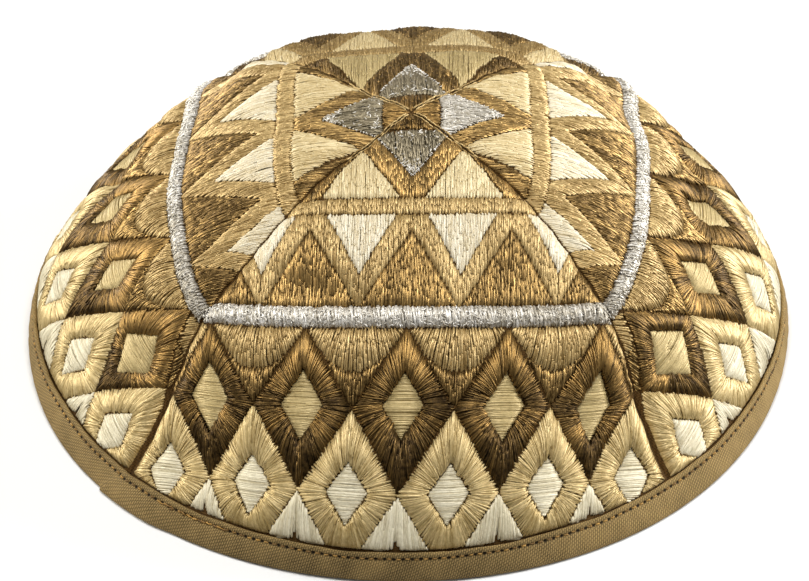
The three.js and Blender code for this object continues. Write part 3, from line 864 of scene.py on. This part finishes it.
def upper_pattern(s, side_name):
    silver_top, silver_end = SILVER_LINE[side_name]
    kite_thread, kite_painted_light = KITE_PAINTED_LIGHT[side_name]

    def fill(polygons, thread, pitch=0.36, **more):
        for poly in polygons:
            p, q = scan(poly, pitch, jitter=0.03)
            # tone defaults to the crown's painted light and shade for this panel
            s.lay(p, q, thread, **{"tone": CROWN_PAINTED_LIGHT[side_name], "puff": 0.035, "most": 0.45, "longest": 4.2, "width": 0.3, "rise": 0.17, "own": (0.03, 0.12), "wild": 0.03, "bow": 0.05, "ragged": 0.42, "dive": (0.14, 0.07), **more})

    fill([[(0, 0.3), (6.6, CROWN_END), (-6.6, CROWN_END)]], UMBER, tone=HEART_PAINTED_LIGHT[side_name])
    kx, ky = KITE_SIDE
    fill(
        [[(-kx, ky), (0, KITE_TIP), (kx, ky), V_SEAM, (V_FOOT, BAND_TOP), (-V_FOOT, BAND_TOP), (-V_SEAM[0], V_SEAM[1])]],
        BROWN,
        tone=V_PAINTED_LIGHT[side_name],
    )
    vx, vy = V_SEAM
    pale_painted_light, palest_painted_light = PALE_PAINTED_LIGHT[side_name]
    fill(both([(vx - 0.3, vy + 0.7), (20.6, BAND_TOP), (V_FOOT + 0.3, BAND_TOP)]), pale_painted_light[0], tone=pale_painted_light[1])
    fill(both([(vx, vy), (28.0, BAND_TOP), (20.9, BAND_TOP)]), BROWN)
    fill([[(-33, BAND_TOP + 0.1), (33, BAND_TOP + 0.1), (33, BAND_END), (-33, BAND_END)]], TAN, puff=0.03, swell=0.5, tone=CROWN_PAINTED_LIGHT[side_name] + 0.14)
    for c in (COLUMN, 3 * COLUMN):
        h = ZIG_HALF
        fill(both([(c - h, BAND_END + 0.1), (c + h, BAND_END + 0.1), (c, ZIG_TIP)]), palest_painted_light[0], tone=palest_painted_light[1])
        for d in (-1, 1):
            side = [
                (c + d * COLUMN, BAND_END + 0.1),
                (c + d * (h + 0.1), BAND_END + 0.1),
                (c + d * 0.05, ZIG_TIP + 0.1),
                (c + d * 0.05, silver_top),
                (c + d * (COLUMN - PEAK_HALF), silver_top),
                (c + d * COLUMN, PEAK),
            ]
            fill(both(side), TAN)
    for c in (0, 2 * COLUMN, 4 * COLUMN):
        peak = [(c, PEAK + 0.2), (c + PEAK_HALF, silver_top), (c - PEAK_HALF, silver_top)]
        fill([peak] if c == 0 else both(peak), BROWN, own=(0.04, 0.18), tone=PEAK_PAINTED_LIGHT[side_name])
    # the silver kite: crumbly thread down it, a little across, and a bright edge
    kite = [(-6.2, CROWN_END + 0.2), (6.2, CROWN_END + 0.2), (kx - 0.3, ky), (0, KITE_TIP - 0.3), (-kx + 0.3, ky)]
    p, q = scan(kite, 0.38, 0.04)
    # the kite's thread and its painted light and shade are chosen per panel
    s.lay(p, q, kite_thread, puff=0.05, most=0.5, longest=3.4, width=0.3, rise=0.15, crumbly=0.3, base=0.18, tone=kite_painted_light)
    # loose loops that lie every way over it
    n = 110
    middle = np.stack([rng.uniform(-0.74, 0.74, n), CROWN_END + 1.0 + (KITE_TIP - CROWN_END - 2.6) * rng.random(n) ** 1.25], 1)
    middle[:, 0] *= np.interp(middle[:, 1], [CROWN_END, ky, KITE_TIP], [6.2, kx - 0.3, 0.2])
    way = rng.uniform(0, math.pi, n)
    reach = np.stack([np.cos(way), np.sin(way)], 1) * rng.uniform(0.4, 1.0, (n, 1))
    s.lay(middle - reach, middle + reach, SILVER, least=0.12, longest=9, width=0.15, rise=0.12, crumbly=0.8, base=0.42, ragged=0.1, bow=0.25)
    for a, b in ((kite[2], kite[3]), (kite[4], kite[3]), (kite[1], kite[2]), (kite[0], kite[4])):
        a, b = np.array(a), np.array(b)
        n = max(3, int(np.linalg.norm(b - a) / 0.46))
        t = ((np.arange(n) + 0.5) / n)[:, None]
        across = unit(np.array([b[1] - a[1], a[0] - b[0]])[None])[0]
        mid = a + (b - a) * t
        s.lay(mid - across * 0.36, mid + across * 0.36, SILVER, least=0.2, longest=9, width=0.2, rise=0.13, ragged=0.1, crumbly=0.2, base=0.26)
    # light thread along the seams beside the crown
    run = np.arange(0.8, 15.5, 1.15)
    for d in (-1, 1):
        p = np.stack([d * (s.flat.seam_at(run) - 0.52), run], 1)
        q = np.stack([d * (s.flat.seam_at(run + 1.5) - 0.52), run + 1.5], 1)
        s.lay(p, q, TAN, least=0.1, longest=9, width=0.26, rise=0.12, ragged=0.15, base=0.2, wild=0.06)
    # the raised silver line
    raised = LINE_HEIGHT[side_name]
    wide = float(s.flat.seam_at(silver_end)) + 2 + max(s.flat.slip)
    left_seam_painted_light, right_seam_painted_light = LINE_PAINTED_LIGHT[side_name]

    # lie gives the painted light and shade across the line, for its stitches and its crinkled loops
    def lie(across):
        return left_seam_painted_light * smooth(-across / wide / 0.8 - 0.12) + right_seam_painted_light * smooth(across / wide / 0.8 - 0.12)

    n = int(2 * wide / 0.42)
    x = -wide + (np.arange(n) + rng.uniform(0.2, 0.8, n)) * 2 * wide / n
    p, q = np.stack([x - 0.4, np.full(n, silver_top)], 1), np.stack([x + 0.4, np.full(n, silver_end)], 1)
    s.lay(p, q, SILVER, puff=0.23 * raised, most=raised, longest=9, width=0.42, rise=0.16, crumbly=0.2, base=0.06, ragged=0.3, tone=lie(x))
    # and its crinkled thread, in short loops that lie every way over it
    n = int(2 * wide * 8.5)
    middle = np.stack([rng.uniform(-wide, wide, n), rng.uniform(silver_top + 0.35, silver_end - 0.35, n)], 1)
    way = rng.uniform(0.15, math.pi - 0.15, n)
    reach = np.stack([np.cos(way), np.sin(way)], 1) * rng.uniform(0.35, 0.75, (n, 1))
    high = raised * (1 - ((middle[:, 1] - silver_top) / (silver_end - silver_top) * 2 - 1) ** 2) ** 0.8
    order = np.argsort(high)
    for part in np.array_split(order, 8):
        s.lay(middle[part] - reach[part], middle[part] + reach[part], SILVER, least=0.1, longest=9, width=0.2, rise=0.14, crumbly=0.5, base=0.16 + high[part].mean(), ragged=0.1, tone=lie(middle[part, 0]))


def lower_pattern(s, side_name):
    silver_end = SILVER_LINE[side_name][1]
    up_painted_light, left_painted_light, right_painted_light, down_painted_light = FRAME_PAINTED_LIGHT[side_name]

    def fill(p, q, thread, **more):
        s.lay(p, q, thread, **{"puff": 0.16, "most": 1.7, "longest": 10.5, "width": 0.28, "rise": 0.16, "ragged": 0.5, "wild": 0.04, **more})

    columns = [2 * COLUMN * k for k in (-2, -1, 0, 1, 2)]
    for c in columns + [-6 * COLUMN]:
        x, y0, y1, half = c + COLUMN, silver_end + 0.2, BROWN_ROW["mid"] - 0.3, COLUMN - 0.45
        cup = [(x + a * CUP_HALF, CUP_SIDE + (CUP_END - CUP_SIDE) * (1 - a * a)) for a in np.linspace(1, -1, 13)]
        more = {"longest": 4.2, "width": 0.3, "rise": 0.17, "own": (0.03, 0.14), "wild": 0.03, "dive": (0.16, 0.07)}
        fill(*scan_fan([(x - half, y0), (x + half, y0)] + cup, (x, y0 - 22), 0.36, y0), TAN, puff=0.09, most=1.0, tone=CUP_PAINTED_LIGHT[side_name], **more)
        fill(*scan(cup[::-1] + [(x, y1)], 0.36), BROWN, puff=0.08, most=0.7, tone=POINT_PAINTED_LIGHT[side_name], **more)
    for k, c in zip((-2, -1, 0, 1, 2), columns):
        row = dict(BROWN_ROW)
        wider, grow, lower = WIDE_INNER.get((side_name, k), (1.0, 1.15, 0.0))
        row["in_half"] *= wider
        for edge in ("in_top", "in_end"):
            row[edge] = BROWN_ROW["in_mid"] + (BROWN_ROW[edge] - BROWN_ROW["in_mid"]) * grow + lower
        row["in_mid"] += lower
        p, q, begin = frame_stitches(diamond(row, c), diamond(row, c, True), 0.37)
        # painted light and shade by the way each stitch runs from the inner diamond: those that run down from it are
        # the darkest
        x, y = unit(q - p).T
        tone = up_painted_light * np.maximum(0, -y) ** 2 + down_painted_light * np.maximum(0, y) ** 2 + np.where(x < 0, left_painted_light, right_painted_light) * x**2
        if side_name in ("front", "back"):
            tone = tone + 2.7 * x**2 * np.maximum(0, y) ** 2 + max(0, k) * 0.13 * x**2
        fill(p, q, UMBER, begin=begin, tone=tone, **FRAME_SHAPE[side_name])
        p, q = scan_across(diamond(row, c, True), 0.38)
        fill(p, q, STRAW, puff=0.05, ragged=0.15, width=0.36, rise=0.15, tone=INNER_PAINTED_LIGHT[side_name])
    for k in (-5, -3, -1, 1, 3, 5):
        c = COLUMN * k
        p, q, begin = frame_stitches(diamond(GOLD_ROW, c), diamond(GOLD_ROW, c, True), 0.37)
        x, y = unit(q - p).T
        # painted light on the gold frames' stitches that run sideways, painted shade on those that run up and down
        tone = GOLD_PAINTED_LIGHT[side_name] * (0.22 * x**2 - 0.1 * np.maximum(0, -y) ** 2 - 0.24 * np.maximum(0, y) ** 2)
        fill(p, q, GOLD, begin=begin, tone=tone, **GOLD_SHAPE[side_name])
        p, q = scan_across(diamond(GOLD_ROW, c, True), 0.38)
        fill(p, q, WHITE, puff=0.05, ragged=0.15, width=0.36, rise=0.15)
    for c in columns + [-6 * COLUMN, 6 * COLUMN]:
        y0, y1 = GOLD_ROW["mid"] + 0.5, 113.5
        half = (y1 - y0) * GOLD_ROW["half"] / (GOLD_ROW["end"] - GOLD_ROW["mid"]) + 0.2
        p, q = scan_fan([(c, y0), (c + half, y1), (c - half, y1)], (c, y0 - 13), 0.42, y1)
        foot = float(rim_row(s.flat, c))
        # laid across first, under the fan
        low = min(foot - NOTCH[1][1] - 0.4, y1)
        wide = half * (low - y0) / (y1 - y0)
        a, b = scan_across([(c, y0 + 1), (c + wide, low), (c - wide, low)], 0.55)
        fill(a, b, WHITE, puff=0.0, least=0.0, width=0.5, rise=0.1, base=-0.02, own=(0, 0.02), ragged=0.1)
        for d in (-1, 1):
            a, b = scan_across([(c + d * wide, low), (c + d * (wide + 2.2), low + 3.4), (c + d * 2.4, low + 3.4), (c + d * 2.2, low)], 0.55)
            fill(a, b, WHITE, puff=0.0, least=0.0, width=0.5, rise=0.1, base=-0.02, own=(0, 0.02), ragged=0.1)
        # a little of the ground is left bare at the foot, beside the binding
        for half, tall in NOTCH:
            bare = np.abs(q[:, 0] - c) < half * (q[:, 1] - y0 + 13) / (foot - y0 + 13)
            q[bare] = p[bare] + (q - p)[bare] * ((foot - tall - p[bare, 1]) / (q - p)[bare, 1])[:, None]
        fill(p, q, WHITE, puff=0.06, most=0.7, width=0.34, wild=0.02, bow=0.04)


def rim_row(flat, x):
    """The row of the flat panel where the binding covers it."""
    y = np.linspace(90, flat.y[-1], 400)
    h = flat.read(flat.height, flat.cell(np.full(400, float(x)), y))
    return y[np.argmax(h < TAPE_OUTSIDE)]


# ---- panels ---------------------------------------------------------------------------
ground_look = ground_material()


def quads_of(rows, columns):
    """Corners of a grid's faces, as row and column numbers: along the row first, then to the next row."""
    i, j = np.meshgrid(np.arange(rows), np.arange(columns), indexing="ij")
    return np.stack([i, i, i + 1, i + 1], -1).reshape(-1, 4), np.stack([j, j + 1, j + 1, j], -1).reshape(-1, 4)


def panel_shell(name, centre):
    """The ground cloth: its outer face, its inner face and the edges between."""
    rows, columns = 54, 38
    crown = math.pi / 2 - 0.15 / (RIM_RADIUS * SECTIONS_MIDDLE[-1])
    even = np.linspace(-1, 1, columns + 1)
    across = 0.35 * even + 0.65 * np.sin(math.pi / 2 * even)
    t = np.linspace(0, 1, rows + 1)
    sets = []
    for inside in (False, True):
        local = across[None, :] * math.pi / 4 * np.ones((rows + 1, 1))
        start = angle_at_height(np.full(local.shape, CLOTH_START), centre + local)
        angle = start + (crown - start) * t[:, None]
        r = distance(angle, centre + math.pi / 4) * np.cos(angle)
        gap = np.arcsin(np.minimum(0.3, SEAM_GAP / 2 / r))
        local = across[None, :] * (math.pi / 4 - gap)
        sets.append(ground(angle, centre + local, centre, inside))
        flat_map = np.stack([r * local, angle * 80.0], -1)
    points = np.concatenate([x.reshape(-1, 3) for x in sets])
    n, size = columns + 1, (rows + 1) * (columns + 1)
    i, j = quads_of(rows, columns)
    outer = i * n + j
    inner = outer[:, ::-1] + size
    j1 = np.arange(columns)
    foot = np.stack([j1 + size, j1 + 1 + size, j1 + 1, j1], 1)
    top = np.stack([j1, j1 + 1, j1 + 1 + size, j1 + size], 1) + rows * n
    i1 = np.arange(rows)
    left = np.stack([i1 * n, (i1 + 1) * n, (i1 + 1) * n + size, i1 * n + size], 1)
    right = np.stack([i1 * n + size, (i1 + 1) * n + size, (i1 + 1) * n, i1 * n], 1) + columns
    faces = np.concatenate([outer, inner, foot, top, left, right])
    ob = mesh_object(name, points, [faces], [ground_look])
    flat_all = np.concatenate([flat_map.reshape(-1, 2), flat_map.reshape(-1, 2) + [0.25, 0.25]])
    set_map(ob.data, "weave_mm", flat_all[faces.ravel()])
    grid = np.stack(np.meshgrid(t, (even + 1) / 2, indexing="ij")[::-1], -1).reshape(-1, 2)
    bake = np.concatenate([grid * [0.47, 0.94] + [0.015, 0.03], grid * [0.47, 0.94] + [0.515, 0.03]])
    uv = bake[faces]
    # the narrow edges take strips of their own along the map's foot and sides
    strips = [(len(outer) + len(inner), len(foot), 0.004), (len(outer) + len(inner) + len(foot), len(top), 0.012)]
    for first, count, v in strips:
        u = np.linspace(0.02, 0.98, count + 1)
        uv[first : first + count] = np.stack([np.stack([u[:-1], u[1:], u[1:], u[:-1]], 1), np.full((count, 4), v) + [0, 0, 0.006, 0.006]], -1)
    first = len(faces) - len(left) - len(right)
    for k, v in ((0, 0.978), (1, 0.988)):
        u = np.linspace(0.02, 0.98, rows + 1)
        a = first + k * rows
        uv[a : a + rows] = np.stack([np.stack([u[:-1], u[1:], u[1:], u[:-1]], 1), np.full((rows, 4), v) + [0, 0, 0.007, 0.007]], -1)
    set_map(ob.data, "OFBake", uv)
    return ob


for side, facing in PANELS.items():
    centre = math.radians(facing)
    flat = Flat(centre, SLIP[side])
    shell = panel_shell(f"panel_cloth_{side}", centre)
    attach(shell, "root")
    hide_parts(f"panel_{side}")
    for part, pattern in (("crown", upper_pattern), ("border", lower_pattern)):
        s = Stitches(flat)
        pattern(s, side)
        ob, count = embroidery(f"embroidery_{side}_{part}", s)
        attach(ob, "root")

# ---- the binding ----------------------------------------------------------------------
STITCH_PITCH, STITCH_DOWN = 2.0, 1.4  # topstitching: one every so far along, so far below the edge
# The tape's section: height up the wall and distance out from the cloth's face, from under
# the outer edge, round the rim, to the inner edge, and back along the side that is sewn down
TAPE_SECTION = np.array(
    [
        (6.70, -0.42), (7.05, -0.38), (7.30, -0.20), (7.43, 0.10), (7.40, 0.42), (7.22, 0.64), (6.92, 0.70), (6.50, 0.63),
        (6.22, 0.50), (6.00, 0.40), (5.78, 0.50), (5.45, 0.64), (4.90, 0.73), (4.10, 0.78), (3.20, 0.78), (2.40, 0.73),
        (1.70, 0.62), (1.10, 0.44), (0.60, 0.16), (0.20, -0.25), (0.00, -0.75), (0.00, -1.50), (0.00, -2.25), (0.20, -2.78),
        (0.60, -3.18), (1.20, -3.38), (2.60, -3.45), (4.80, -3.42), (5.25, -3.36), (5.50, -3.20), (5.75, -3.36), (6.20, -3.42),
        (6.60, -3.36), (6.85, -3.10), (6.88, -2.70), (6.65, -2.44), (1.50, -2.40), (1.10, -2.00), (1.10, -0.80), (1.50, -0.42),
    ]
)
# Where the tape's folded end laps its start: bearing at its foot and how far it leans, mm raised, mm lapped
LAP = {"bearing": -48.2, "lean": 3.6, "raised": 0.75, "lapped": 15.0}
# Where the sewing starts and ends on itself: bearings
BACK_TACK = (-37.5, -25.4)


def tape_place(height, out, bearing):
    angle = angle_at_height(height, bearing)
    return cloth(angle, bearing) + outward_at_height(height, angle, bearing) * np.asarray(out)[..., None]


fine = np.linspace(0, 2 * math.pi, 1441)
line = tape_place(np.full(1441, 6.0), np.full(1441, 0.4), fine)
TAPE_RUN = np.concatenate([[0], np.cumsum(np.linalg.norm(np.diff(line, axis=0), axis=1))])
STITCH_COUNT = int(round(TAPE_RUN[-1] / STITCH_PITCH))
TAPE_LENGTH = float(TAPE_RUN[-1])


def bearing_along(run):
    return np.interp(np.mod(run, TAPE_LENGTH), TAPE_RUN, fine)


def tape_relief(height, out, run, bearing):
    """The tape's own unevenness: a wavy edge, dimples at each stitch, and the lap."""
    turn = 2 * math.pi * run / TAPE_LENGTH
    outer = np.clip((out + 2.2) / 2.4, 0, 1)
    edge = smooth((height - 5.0) / 2.2)
    wave = 0.09 * np.sin(17 * turn + 0.7) + 0.07 * np.sin(29 * turn + 2.0) + 0.05 * np.sin(47 * turn + 4.1)
    h = height + edge * wave
    ripple = 0.05 * np.sin(131 * turn + 2 * np.sin(7 * turn)) + 0.04 * np.sin(83 * turn + 1)
    o = out + (2 * outer - 1) * ripple * smooth((height - 0.5) / 2)
    o = o + (2 * outer - 1) * 0.1 * np.sin(11 * turn + 3.0) * smooth((height - 0.5) / 3) * (1 - 0.6 * edge)
    phase = np.cos(2 * math.pi * run / TAPE_LENGTH * STITCH_COUNT)
    o = o - 0.16 * (0.5 + 0.5 * phase) * np.exp(-(((height - 6.0) / 0.42) ** 2)) * (out > 0)
    o = o + 0.12 * (0.5 + 0.5 * phase) * np.exp(-(((height - 5.5) / 0.42) ** 2)) * (out < -3)
    signed = (bearing + math.pi) % (2 * math.pi) - math.pi
    past = (signed - np.radians(LAP["bearing"] + LAP["lean"] * height / TAPE_OUTSIDE)) * RIM_RADIUS
    lap = LAP["raised"] * smooth((past + 0.25) / 0.5) * (1 - smooth((past - LAP["lapped"]) / 9))
    o = o + lap * smooth((out + 0.3) / 0.5) * smooth((height - 0.1) / 0.6)
    return h, o


def make_tape():
    steps, corners = STITCH_COUNT * 3, len(TAPE_SECTION)
    run = np.arange(steps) * TAPE_LENGTH / steps
    bearing = bearing_along(run)[:, None] * np.ones((1, corners))
    h, o = tape_relief(TAPE_SECTION[None, :, 0], TAPE_SECTION[None, :, 1], run[:, None], bearing)
    points = tape_place(h, o, bearing).reshape(-1, 3)
    i, j = quads_of(steps, corners)
    faces = (i % steps) * corners + j % corners
    around = np.concatenate([[0], np.cumsum(np.linalg.norm(np.diff(TAPE_SECTION, axis=0), axis=1))])
    around = np.append(around, around[-1] + np.linalg.norm(TAPE_SECTION[0] - TAPE_SECTION[-1]))
    rows = [around[TAPE_SECTION.tolist().index([6.0, 0.4])], around[TAPE_SECTION.tolist().index([5.5, -3.2])]]
    ob = mesh_object("binding_tape", points, [faces], [tape_material(TAPE_LENGTH / STITCH_COUNT, rows, around[TAPE_SECTION.tolist().index([0.0, -1.5])], TAPE_LENGTH)])
    uv = np.stack([i * TAPE_LENGTH / steps, around[j]], -1)
    set_map(ob.data, "tape_mm", uv)
    strips = 16
    each = steps / strips
    strip = np.minimum((i[:, :1] // each), strips - 1)
    bake = np.stack([0.01 + 0.98 * (i - strip * each) / (each + 1), (strip + 0.04 + 0.92 * around[j] / around[-1]) / strips], -1)
    set_map(ob.data, "OFBake", bake)
    return ob


def make_topstitches(name, height, lie, sign, extra):
    """Short stitches along the tape, each a closed tube whose ends go down into its dimples."""
    k = np.arange(STITCH_COUNT)
    start = (k + 0.17) * TAPE_LENGTH / STITCH_COUNT + rng.normal(0, 0.05, STITCH_COUNT)
    long = 0.66 * TAPE_LENGTH / STITCH_COUNT * rng.normal(1, 0.05, STITCH_COUNT)
    up0, up1 = height + rng.normal(0, 0.05, (2, STITCH_COUNT))
    lie = lie + np.zeros(STITCH_COUNT)
    if extra:
        a, b = np.interp(np.radians(np.array(BACK_TACK)) % (2 * math.pi), fine, TAPE_RUN)
        more = int((b - a) / 1.25)
        start = np.append(start, a + (b - a) * (np.arange(more) + rng.uniform(0, 0.7, more)) / more)
        long = np.append(long, rng.uniform(1.1, 2.1, more))
        up0 = np.append(up0, height + rng.uniform(-0.35, 0.3, more))
        up1 = np.append(up1, height + rng.uniform(-0.35, 0.3, more))
        lie = np.append(lie, lie[0] + sign * rng.uniform(0.1, 0.4, more))
    m, n, corner = len(start), 5, 5
    t = np.linspace(0, 1, n)
    run = start[:, None] + long[:, None] * t
    up = up0[:, None] + (up1 - up0)[:, None] * t
    bearing = bearing_along(run)
    arch = np.array([-0.34, 0.03, 0.14, 0.05, -0.34])
    base_h, base_o = tape_relief(up, np.broadcast_to(lie[:, None], up.shape) * 1.0, run, bearing)
    centre = tape_place(np.maximum(base_h, 0.2), base_o + sign * arch, bearing)
    normal = sign * outward_at_height(up, angle_at_height(up, bearing), bearing)
    along = unit(np.gradient(centre, axis=1))
    right = unit(np.cross(along, normal))
    above = unit(np.cross(right, along))
    thick = 0.19 * np.array([0.7, 0.95, 1.0, 0.95, 0.7])
    turn = 2 * math.pi * np.arange(corner) / corner
    ring = (
        centre[:, :, None]
        + right[:, :, None] * (thick[None, :, None] * np.cos(turn))[..., None]
        + above[:, :, None] * (thick[None, :, None] * np.sin(turn))[..., None]
    )
    i, j = np.meshgrid(np.arange(n - 1), np.arange(corner), indexing="ij")
    j2 = (j + 1) % corner
    quad = np.stack([i * corner + j, (i + 1) * corner + j, (i + 1) * corner + j2, i * corner + j2], -1).reshape(1, -1, 4)
    base = np.arange(m)[:, None, None] * (n * corner)
    cap = np.stack([np.arange(corner), (n - 1) * corner + np.arange(corner)[::-1]])[None]
    ob = mesh_object(name, ring.reshape(-1, 3), [(base + quad).reshape(-1, 4), (base + cap).reshape(-1, corner)], [topstitch_look])
    set_floats(ob.data, "shade", np.repeat(rng.random(m), n * corner))
    return ob


tape = make_tape()
topstitch_look = topstitch_material()
topstitches = [
    make_topstitches("topstitch_outside", 6.0, 0.42, 1, True),
    make_topstitches("topstitch_inside", 5.5, -3.22, -1, False),
]
for ob in [tape] + topstitches:
    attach(ob, "root")
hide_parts("rim_binding")

# ---- floor, light, camera -------------------------------------------------------------
floor_mesh = bpy.data.meshes.new("floor")
floor_mesh.from_pydata([(-3, -3, 0), (3, -3, 0), (3, 3, 0), (-3, 3, 0)], [], [(0, 1, 2, 3)])
floor = bpy.data.objects.new("floor", floor_mesh)
bpy.context.scene.collection.objects.link(floor)
m, n = material("floor_pale")
n.to("Base Color", n.mix(n.noise(3.0), (0.88, 0.88, 0.875, 1), (0.92, 0.92, 0.915, 1)))
n.to("Roughness", 0.9)
floor_mesh.materials.append(m)
floor.visible_glossy = False  # the sheen of the thread shows the lamps alone


def area_light(name, place, target, size, power, colour=(1, 1, 1)):
    data = bpy.data.lights.new(name, "AREA")
    data.shape, data.size, data.size_y = "RECTANGLE", size[0], size[1]
    data.energy, data.color = power, colour
    ob = bpy.data.objects.new(name, data)
    bpy.context.scene.collection.objects.link(ob)
    ob.location = place
    ob.rotation_euler = (Vector(target) - Vector(place)).to_track_quat("-Z", "Y").to_euler()
    return ob


area_light("light_top", (0.0, -0.08, 1.15), (0, 0, 0.03), (0.9, 0.5), 11.8)
area_light("light_left", (-1.1, 0.24, 0.35), (0, 0, 0.03), (0.5, 0.5), 8.2, (1, 0.965, 0.86))
area_light("light_right", (1.1, 0.24, 0.41), (0, 0, 0.03), (0.5, 0.5), 12.3)
# low cards that only show in the sheen of the thread
for name, x, power in (("card_left", -0.86, 5.0), ("card_right", 0.86, 5.0)):
    area_light(name, (x, 0.79, 0.23), (0, 0, 0.03), (0.5, 0.3), power, (1, 0.97, 0.9)).visible_diffuse = False
area_light("light_front", (0.0, -1.1, 0.9), (0, 0, 0.03), (0.8, 0.5), 0.9)
world = bpy.data.worlds.new("studio")
world.use_nodes = True
world.node_tree.nodes["Background"].inputs[0].default_value = (1, 1, 1, 1)
world.node_tree.nodes["Background"].inputs[1].default_value = 0.1
bpy.context.scene.world = world
bpy.context.scene.view_settings.view_transform = "Standard"

# The camera stands where the picture was taken: distances in rim radii, angles in degrees
VIEW = {"focal_px": 3800.5, "distance": 9.893, "up": 39.553, "yaw": -2.855, "roll": -1.063, "right": 0.0073, "rise": 0.0747, "aim": 0.2}
UNIT = 0.090
e, yaw, roll = (math.radians(VIEW[k]) for k in ("up", "yaw", "roll"))
turn = Matrix.Rotation(-yaw, 3, "Z")
right = turn @ Vector((1, 0, 0))
up = turn @ Vector((0, math.sin(e), math.cos(e)))
ahead = turn @ Vector((0, math.cos(e), -math.sin(e)))
spot = Vector((0, 0, VIEW["aim"])) - right * VIEW["right"] - up * VIEW["rise"] - ahead * VIEW["distance"]
# the picture is turned by roll about its middle
tilted_right = right * math.cos(roll) + up * math.sin(roll)
tilted_up = up * math.cos(roll) - right * math.sin(roll)
camera_data = bpy.data.cameras.new("camera")
camera_data.sensor_width, camera_data.sensor_fit = 36.0, "HORIZONTAL"
camera_data.lens = 36.0 * VIEW["focal_px"] / 809
camera_data.clip_start, camera_data.clip_end = 0.05, 20
camera = bpy.data.objects.new("camera", camera_data)
bpy.context.scene.collection.objects.link(camera)
axes = Matrix((tilted_right, tilted_up, -ahead)).transposed().to_4x4()
camera.matrix_world = Matrix.Translation(spot * UNIT) @ axes
bpy.context.scene.camera = camera
